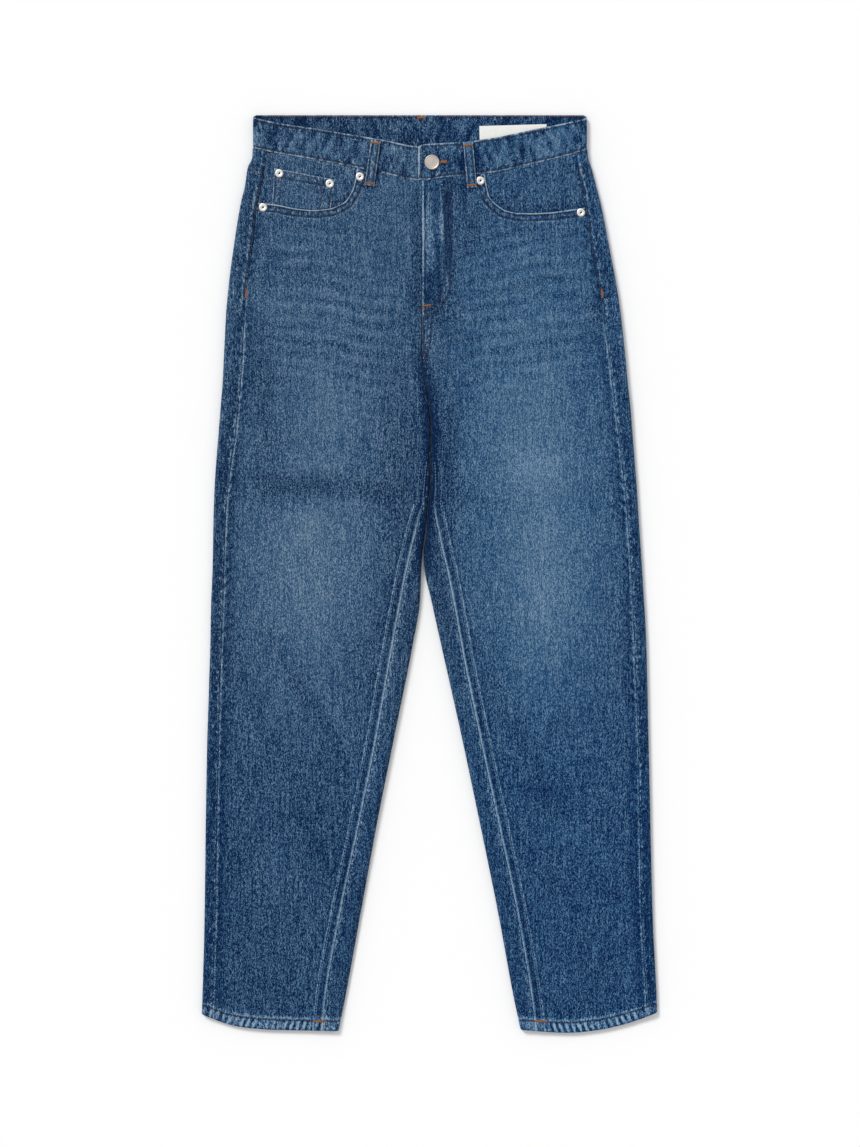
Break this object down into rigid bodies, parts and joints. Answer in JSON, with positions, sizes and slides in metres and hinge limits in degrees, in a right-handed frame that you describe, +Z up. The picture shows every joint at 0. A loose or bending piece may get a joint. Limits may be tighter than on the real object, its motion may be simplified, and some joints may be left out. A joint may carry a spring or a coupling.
{
  "type": "jeans",
  "caption": "High-waisted tapered denim jeans laid flat with the front up: front and wrapped back panels, yoke, waistband, coin pocket, zip fly, belt loops, button and rivets.",
  "frame": {"origin": "centre of the garment's outline, on the surface that it lies on", "axes": "+Y from the hems to the waist, +X to the right of the garment as it lies seen from above, +Z up from the surface through the front"},
  "size_m": [0.5145, 1.037, 0.0115],
  "materials": {
    "denim": "washed blue twill, worn pale on the thighs and along the seams",
    "denim_inside": "paler inner face of the twill",
    "metal": "satin nickel, slightly worn",
    "label": "smooth white woven tape, bare",
    "zip_tape": "dark woven tape with a metal chain"
  },
  "bodies": {
    "root": {"front_left": "denim", "front_right": "denim", "back_left": "denim", "back_right": "denim", "yoke_left": "denim", "yoke_right": "denim", "waistband_left": "denim", "waistband_right": "denim", "pocket_facing_left": "denim", "pocket_facing_right": "denim", "coin_pocket": "denim", "back_pocket_left": "denim", "back_pocket_right": "denim", "belt_loop_front_left": "denim", "belt_loop_front_right": "denim", "belt_loop_back_left": "denim", "belt_loop_back_middle": "denim", "belt_loop_back_right": "denim", "label": "label", "zip": "zip_tape", "button": "metal", "rivet_left_outer": "metal", "rivet_left_inner": "metal", "rivet_coin_outer": "metal", "rivet_coin_inner": "metal", "rivet_right_outer": "metal", "rivet_right_inner": "metal"}
  },
  "joints": []
}
